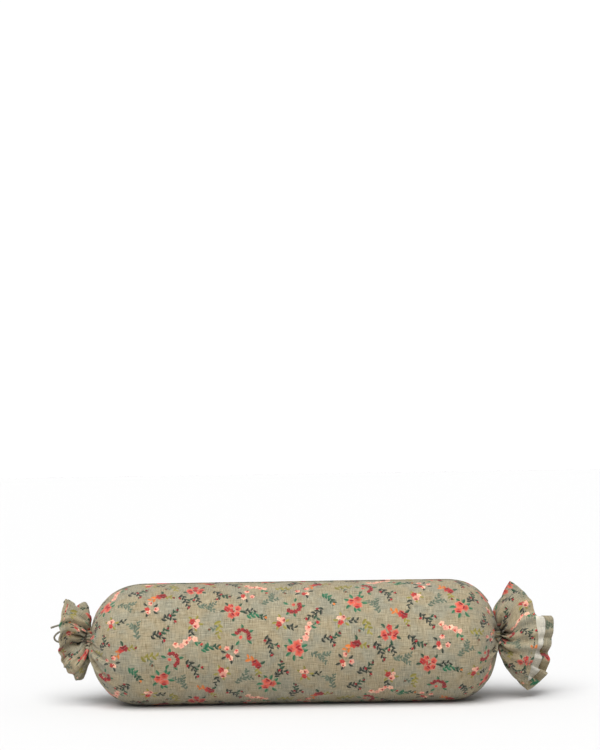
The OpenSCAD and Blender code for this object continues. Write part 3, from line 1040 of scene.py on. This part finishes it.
def shell(outer, inner, uv_out):
    """Two skins joined by a strip at each end. Outer faces come first, then inner ones, then the
    strips. Returns points, faces, cloth coordinates and the number of faces of one skin."""
    rows, cols = outer.shape[:2]
    points = np.concatenate([outer.reshape(-1, 3), inner.reshape(-1, 3)])
    skin = grid_faces(rows, cols, True)
    half = rows * cols
    j = np.arange(cols)
    k = (j + 1) % cols
    top = np.stack([k, j, j + half, k + half], -1)
    last = (rows - 1) * cols
    end = np.stack([j + last, k + last, k + last + half, j + last + half], -1)
    faces = np.concatenate([skin, skin[:, ::-1] + half, top, end])
    edge = uv_out.reshape(rows - 1, cols, 4, 2)
    first = edge[0][:, [1, 0, 0, 1]]
    final = edge[-1][:, [3, 2, 2, 3]]
    corner = np.concatenate([uv_out, uv_out[:, ::-1], first, final])
    return points, faces, corner, len(skin)


def frill_uv(side, rows, columns, length):
    """Cloth coordinates of a frill: u goes on outwards from the neck, v runs round the tube."""
    neck = PROFILE_ARC[-1] if side == RIGHT else PROFILE_ARC[0]
    u = neck + side * np.linspace(0, length, rows)
    return flat_coordinates(u, 2 * math.pi * np.arange(columns) / columns)


def cotton_reverse():
    """The unprinted back of the cloth: pale plain weave, with painted shade in the folds and towards the
    neck.
    """
    paint = Paint("cloth_reverse", Roughness=0.9, Sheen_Weight=0.1)
    place = paint.node("ShaderNodeUVMap", uv_map="cloth").outputs[0]
    ground, height = linen_ground(
        paint, place, colour(232, 228, 218), colour(222, 216, 202), colour(214, 210, 200))
    # Painted shade: dark brown mixed in by the painted-shade amount, two and a half times as strong as on the
    # printed side.
    painted_shade_amount = paint.value("ShaderNodeAttribute", attribute_name="fold", out=2)
    paint.set("Base Color", paint.mix(ground, colour(58, 46, 32), (painted_shade_amount * 2.5).clamp()))
    paint.bump(height, 0.3, 0.0003)
    return paint.material


reverse_side = cotton_reverse()


def make_frill(side, frill):
    """The frill's shell: printed outside, pale inside."""
    outer = frill["grid"]
    normal = grid_normals(outer) * side
    inner = outer - normal * CLOTH_T
    uv = grid_corners(frill_uv(side, ROWS, COLUMNS, frill["length"]), (0, -CLOTH_ROUND))
    points, faces, corner, skin = shell(outer, inner, uv)
    if side == LEFT:
        faces, corner = faces[:, ::-1], corner[:, ::-1]
    obj = new_mesh(f"frill_cloth_{SIDE_NAME[side]}", points, faces, corner)
    store_print(obj, corner * 1000)
    store_painted_shade(obj, np.concatenate([frill["fold"], frill["fold"]]))
    obj.data.materials.append(linen_print)
    obj.data.materials.append(reverse_side)
    inside = np.zeros(len(faces), np.int32)
    inside[skin:2 * skin] = 1
    obj.data.polygons.foreach_set("material_index", inside)
    return obj


def make_hem(side, frill):
    """The hem: the cloth's end folded to the inside. Its section is a flat loop that wraps the
    edge: along the outside, round the fold, back along the inside and round its raw edge."""
    grid = frill["grid"]
    normal = grid_normals(grid) * side
    rib = np.linalg.norm(grid[-1] - grid[-2], axis=-1, keepdims=True)
    outwards = (grid[-1] - grid[-2]) / rib

    def back_from_edge(distance, offset):
        """The cloth's points at a distance back from its edge, lifted by offset along the normal."""
        place = np.clip(ROWS - 1 - distance / rib[:, 0], 0, ROWS - 1.001)
        row = place.astype(int)
        part = (place - row)[:, None]
        column = np.arange(COLUMNS)
        at = grid[row, column] * (1 - part) + grid[row + 1, column] * part
        lean = normal[row, column] * (1 - part) + normal[row + 1, column] * part
        return at + lean * offset

    rows = []
    reach = []
    for distance in (3 * MM, 1.5 * MM, 0):
        rows.append(back_from_edge(distance, 0.22 * MM))
        reach.append(-distance)
    for turn in np.linspace(0.15, 0.85, 6) * math.pi:
        thick = 0.95 * MM
        rows.append(grid[-1] - normal[-1] * thick * (1 - math.cos(turn)) * 0.9
                    + normal[-1] * 0.22 * MM + outwards * thick * math.sin(turn))
        reach.append(thick * turn)
    for distance in np.linspace(0, HEM_W, 8):
        rows.append(back_from_edge(distance, -1.55 * MM))
        reach.append(3 * MM + distance)
    rows.append(back_from_edge(HEM_W + 0.2 * MM, -0.75 * MM))
    reach.append(reach[-1] + 0.8 * MM)
    section = np.array(rows)
    reach = np.array(reach)
    closed = np.concatenate([section, section[:1]])
    u = frill_uv(side, 2, COLUMNS, frill["length"])[-1, 0, 0] + side * np.append(reach, reach[-1] + 2 * MM)
    uv = grid_corners(flat_coordinates(u, 2 * math.pi * np.arange(COLUMNS) / COLUMNS), (0, -CLOTH_ROUND))
    faces = grid_faces(len(closed), COLUMNS, True)
    faces = np.where(faces >= len(section) * COLUMNS, faces - len(section) * COLUMNS, faces)
    if side == LEFT:
        faces, uv = faces[:, ::-1], uv[:, ::-1]
    obj = new_mesh(f"hem_fold_{SIDE_NAME[side]}", section.reshape(-1, 3), faces, uv)
    store_print(obj, uv * 1000)
    obj.data.materials.append(linen_print)
    return obj


def bend_at_neck(piece, side):
    """Bakes the piece's placement into its points. The start and end of a bend beside the neck are worked
    out, and nothing uses them.
    """
    start, end = ((side * (NECK_X + away * MM), 0, PIVOT[side][2]) for away in (2, 12))
    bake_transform(piece)


for side, frill in FRILL.items():
    cloth = make_frill(side, frill)
    hem = make_hem(side, frill)
    for piece, node in ((cloth, f"frill_{SIDE_NAME[side]}"), (hem, f"hem_{SIDE_NAME[side]}")):
        bend_at_neck(piece, side)
        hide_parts(node)
    print(cloth.name, len(cloth.data.polygons), "faces")

# %% [markdown]
# ## Small parts
# The closure runs along the back as an overlapping strip with a second strip under it. A tied knot
# sits behind each neck, and the bunched cloth closes the neck behind each frill. A blank woven label
# is sewn to the right frill's back wall, and running stitches hold both hems.

# %% Strips, knots, neck plugs and stitches
def strip(name, outer, inner, place):
    """A thin closed piece between two open grids of the same size: both skins, and a rim that
    joins their borders. place is the cloth coordinate of each grid point."""
    rows, cols = outer.shape[:2]
    skin = grid_faces(rows, cols, False)
    index = np.arange(rows * cols).reshape(rows, cols)
    rim = np.concatenate([index[0, :-1], index[:-1, -1], index[-1, :0:-1], index[:0:-1, 0]])
    after = np.roll(rim, -1)
    half = rows * cols
    sides = np.stack([after, rim, rim + half, after + half], -1)
    faces = np.concatenate([skin, skin[:, ::-1] + half, sides])
    corner = np.concatenate([place.reshape(-1, 2)] * 2)[faces]
    obj = new_mesh(name, np.concatenate([outer.reshape(-1, 3), inner.reshape(-1, 3)]),
                   faces, corner)
    return obj, corner


def closure_strip(name, node, arc, from_deg, to_deg, low, high):
    angle = np.radians(np.linspace(-to_deg, -from_deg, 14))
    outer = roll_surface(arc, angle, high)[0]
    inner = roll_surface(arc, angle, low)[0]
    obj, corner = strip(name, outer, inner, flat_coordinates(arc, angle))
    store_print(obj, corner * 1000)
    obj.data.materials.append(linen_print)
    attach(obj, "bolster")
    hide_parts(node)
    return obj


flap_reach = [abs(PROFILE_ARC[0]) - 40 * MM, PROFILE_ARC[-1] - 40 * MM]
closure_strip("flap_cloth", "closure_flap", np.linspace(-flap_reach[0], flap_reach[1], 150),
              10, 34, 0.4 * MM, 1.2 * MM)
closure_strip("underlap_cloth", "closure_underlap",
              np.linspace(-shoulder_start[LEFT], shoulder_start[RIGHT], 90),
              16, 40, -1.9 * MM, -1.1 * MM)


def thread_material(name, dark, pale, scale):
    """Braid or thread: fine strands of two tones, with the same noise in the bump."""
    paint = Paint(name, Roughness=0.8, Sheen_Weight=0.1)
    place = paint.node("ShaderNodeTexCoord").outputs["Object"]
    strand = paint.noise(place, scale, 3, 0.7)
    cloud = paint.noise(place, scale / 9, 2, 0.5)
    tone = paint.mix(colour(*dark), colour(*pale), ((strand - 0.4) * 4).clamp())
    paint.set("Base Color", paint.mix(tone, colour(*dark), ((cloud - 0.5) * 2).clamp() * 0.5))
    paint.bump(strand, 0.6, 0.0004)
    return paint.material


braid = thread_material("cord_braid_grey", (88, 84, 72), (142, 136, 118), 1500)
thread = thread_material("sewing_thread", (150, 142, 116), (196, 188, 160), 2200)
for cord in bow:
    cord.data.materials.append(braid)


def tied_knot(side):
    """A tight overhand knot: x = sin t + 2 sin 2t, y = cos t - 2 cos 2t, z = -sin 3t."""
    t = np.linspace(0, 2 * math.pi, 73)
    shape = np.stack([np.sin(t) + 2 * np.sin(2 * t), -1.3 * np.sin(3 * t), np.cos(t) - 2 * np.cos(2 * t)], -1)
    obj = cord_tube(f"knot_{SIDE_NAME[side]}", KNOT[side] + shape * 0.95 * MM, CORD_D / 2)
    obj.data.materials.append(braid)
    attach(obj, "bolster")
    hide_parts(f"cord_knot_{SIDE_NAME[side]}")
    return obj


def neck_plug(side):
    """The bunched cloth in a neck: a ball whose radius rises and falls with the gathers."""
    mesh = bpy.data.meshes.new(f"neck_gathers_{SIDE_NAME[side]}")
    build = bmesh.new()
    bmesh.ops.create_uvsphere(build, u_segments=156, v_segments=28, radius=1)
    build.to_mesh(mesh)
    build.free()
    co = np.empty(len(mesh.vertices) * 3, np.float32)
    mesh.vertices.foreach_get("co", co)
    co = co.reshape(-1, 3)
    angle = np.arctan2(co[:, 1], co[:, 0])
    rim = np.hypot(co[:, 0], co[:, 1])
    radius = 10.4 + 0.9 * pleats(angle, 26, 90 + side) * rim
    place = np.stack([co[:, 2] * 7, co[:, 0] * radius, co[:, 1] * radius], -1) * MM
    mesh.vertices.foreach_set("co", (place + PIVOT[side]).astype(np.float32).ravel())
    mesh.polygons.foreach_set("use_smooth", np.ones(len(mesh.polygons), bool))
    mesh.update()
    obj = add_object(mesh.name, mesh)
    # Painted shade: the bunched cloth is coloured dark brown rather than as the printed linen, since it sits
    # in the shade of the neck's recess.
    obj.data.materials.append(plain_cloth("gathered_linen_painted_shade", (104, 94, 68), (62, 54, 40), 700))
    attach(obj, "bolster")
    return obj


def plain_cloth(name, pale, dark, scale):
    """Plain weave in the object's own coordinates: cloudy tone and fine crossing ridges."""
    paint = Paint(name, Roughness=0.92, Sheen_Weight=0.08)
    place = paint.node("ShaderNodeTexCoord").outputs["Object"]
    cloud = paint.noise(place, 40, 3, 0.6)
    weave = paint.noise(place, scale, 2, 0.7)
    tone = paint.mix(colour(*dark), colour(*pale), ((cloud - 0.3) * 2.4).clamp())
    paint.set("Base Color", paint.mix(tone, colour(*dark), ((0.5 - weave) * 3).clamp() * 0.5))
    paint.bump(weave, 0.35, 0.0003)
    return paint.material


def stitches(name, line, normal, pitch, wide, high):
    """Running stitches along a closed line: every other step of the pitch is a small raised block."""
    closed = np.concatenate([line, line[:1]])
    lean = np.concatenate([normal, normal[:1]])
    run = np.concatenate([[0], np.cumsum(np.linalg.norm(np.diff(closed, axis=0), axis=1))])
    count = int(run[-1] / pitch)
    starts = np.arange(count) * run[-1] / count

    def at(where, rows):
        return np.stack([np.interp(where, run, rows[:, k]) for k in range(3)], -1)

    a, b = at(starts, closed), at(starts + 0.62 * pitch, closed)
    up = at(starts + 0.3 * pitch, lean)
    up = up / np.linalg.norm(up, axis=1, keepdims=True)
    across = np.cross(b - a, up)
    across = across / np.linalg.norm(across, axis=1, keepdims=True) * wide / 2
    corners = [p + w * across + h * up * high for h in (0, 1) for p, w in
               ((a, -1), (b, -1), (b, 1), (a, 1))]
    points = np.stack(corners, 1).reshape(-1, 3)
    cube = np.array([[0, 1, 2, 3], [7, 6, 5, 4], [0, 4, 5, 1], [1, 5, 6, 2], [2, 6, 7, 3], [3, 7, 4, 0]])
    faces = (cube[None, :, ::-1] + 8 * np.arange(count)[:, None, None]).reshape(-1, 4)
    obj = new_mesh(name, points, faces, smooth=False)
    obj.data.materials.append(thread)
    print(name, count, "stitches")
    return obj


for make_piece in (tied_knot, neck_plug):
    for side in (LEFT, RIGHT):
        make_piece(side)
STITCH_ROW = -8
for side, frill in FRILL.items():
    grid, normal = frill["grid"], grid_normals(frill["grid"]) * side
    seam = stitches(f"hem_stitches_{SIDE_NAME[side]}", grid[STITCH_ROW] + normal[STITCH_ROW] * 0.1 * MM,
                    normal[STITCH_ROW], 3.2 * MM, 0.5 * MM, 0.35 * MM)
    bend_at_neck(seam, side)

# %% Blank woven label
LABEL_L, LABEL_W = 34 * MM, 12 * MM
LABEL_ROW = 36


def woven_label():
    """The label follows the inner face of the right frill's back wall, between two rows of the
    frill's grid that are its width apart."""
    grid = FRILL[RIGHT]["grid"]
    normal = grid_normals(grid)
    column = int(round(COLUMNS * LABEL_TURN / (2 * math.pi)))
    wide = np.linalg.norm(grid[LABEL_ROW - 2, column] - grid[LABEL_ROW - 2, column + 20]) / 20
    tall = np.linalg.norm(grid[LABEL_ROW - 2, column] - grid[LABEL_ROW - 10, column]) / 8
    rows = np.linspace(LABEL_ROW - LABEL_W / tall, LABEL_ROW, 9)
    cols = np.linspace(column - LABEL_L / wide / 2, column + LABEL_L / wide / 2, 25)
    r, c = np.meshgrid(rows, cols, indexing="ij")
    low_r, low_c = r.astype(int), c.astype(int)
    tr, tc = (r - low_r)[..., None], (c - low_c)[..., None]

    def sample(field):
        near = field[low_r, low_c] * (1 - tc) + field[low_r, low_c + 1] * tc
        far = field[low_r + 1, low_c] * (1 - tc) + field[low_r + 1, low_c + 1] * tc
        return near * (1 - tr) + far * tr

    face, lean = sample(grid), sample(normal)
    size = np.stack(np.meshgrid(np.linspace(0, LABEL_L, 25), np.linspace(0, LABEL_W, 9)), -1)
    back = face - lean * (CLOTH_T + 0.6 * MM)
    front = face - lean * (CLOTH_T + 1 * MM)
    obj, corner = strip("label_blank", back, front, size)
    obj.data.materials.append(plain_cloth("label_weave", (226, 222, 206), (196, 190, 172), 1800))
    edge = np.concatenate([front[0, :-1], front[:-1, -1], front[-1, :0:-1], front[:0:-1, 0]])
    edge_lean = -np.concatenate([lean[0, :-1], lean[:-1, -1], lean[-1, :0:-1], lean[:0:-1, 0]])
    inner = edge + (face.mean((0, 1)) - edge) * 0.1
    seam = stitches("label_seam", inner, edge_lean, 2.4 * MM, 0.4 * MM, 0.3 * MM)
    for piece, node, finish in ((obj, "woven_label", "label_tape"), (seam, "label_stitches", "cord_braid")):
        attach(piece, "frill_right")
        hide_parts(node)
    return obj


woven_label()

# %% Finishes of the hidden parts
cotton = plain_cloth("case_cotton", (232, 226, 210), (206, 198, 178), 900)
husks = plain_cloth("husk_and_herbs", (160, 128, 84), (86, 62, 38), 260)
HIDDEN = {
    cotton: ["insert_case", "insert_end_left", "insert_end_right", "insert_seams",
             "channel_tape_left", "channel_tape_right"],
    husks: ["herb_filling"],
    braid: ["drawcord_left", "drawcord_right"],
}
for finish, names in HIDDEN.items():
    for name in names:
        mesh = frame["nodes"][name].data
        mesh.materials.clear()
        mesh.materials.append(finish)

# %% [markdown]
# ## Floor, light and the last lines
# A pale floor and a white surrounding give the plain studio look. One far, very soft lamp shines
# from in front of the roll and above it, so the upper front is brightest and the underside is dark.

# %% Floor and lights
floor = new_mesh("floor", np.array([(-6, -6, 0), (6, -6, 0), (6, 6, 0), (-6, 6, 0)], float) - (0, 0, 0.0002),
                 np.array([[0, 1, 2, 3]]), smooth=False)
paper = Paint("floor_paper", Roughness=1.0)
paper.shader.inputs["Specular IOR Level"].default_value = 0
paper.set("Base Color", (0.71, 0.71, 0.71))
floor.data.materials.append(paper.material)


def white_dome(radius, rows=24, columns=48):
    """A sphere of white light round the stage that only the camera sees: it is the plain
    background and adds no light to the cloth."""
    up = np.linspace(-math.pi / 2, math.pi / 2, rows)[:, None]
    turn = np.linspace(0, 2 * math.pi, columns, endpoint=False)[None, :]
    points = np.stack([np.cos(up) * np.cos(turn), np.cos(up) * np.sin(turn),
                       np.sin(up) + 0 * turn], -1) * radius
    dome = new_mesh("backdrop", points.reshape(-1, 3), grid_faces(rows, columns, True))
    light = Paint("backdrop_white", Emission_Strength=1.0)
    light.set("Base Color", (0, 0, 0))
    light.set("Emission Color", (1, 1, 1))
    dome.data.materials.append(light.material)
    for rays in ("visible_diffuse", "visible_glossy", "visible_transmission", "visible_shadow"):
        setattr(dome, rays, False)
    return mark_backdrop(dome)


white_dome(9.0)


def sun(name, azimuth, height, strength, spread):
    """A far soft lamp. azimuth 0 shines from straight in front, height is its angle above the floor."""
    data = bpy.data.lights.new(name, "SUN")
    data.energy = strength
    data.angle = math.radians(spread)
    obj = add_object(name, data)
    obj.rotation_euler = (math.radians(90 - height), 0, math.radians(azimuth))
    return obj


sun("key", -12, 56, 3.6, 55)
world = bpy.data.worlds.new("white_room")
world.use_nodes = True
world.node_tree.nodes["Background"].inputs[0].default_value = (1, 1, 1, 1)
world.node_tree.nodes["Background"].inputs[1].default_value = 0.45
bpy.context.scene.world = world
bpy.context.scene.view_settings.view_transform = "Standard"
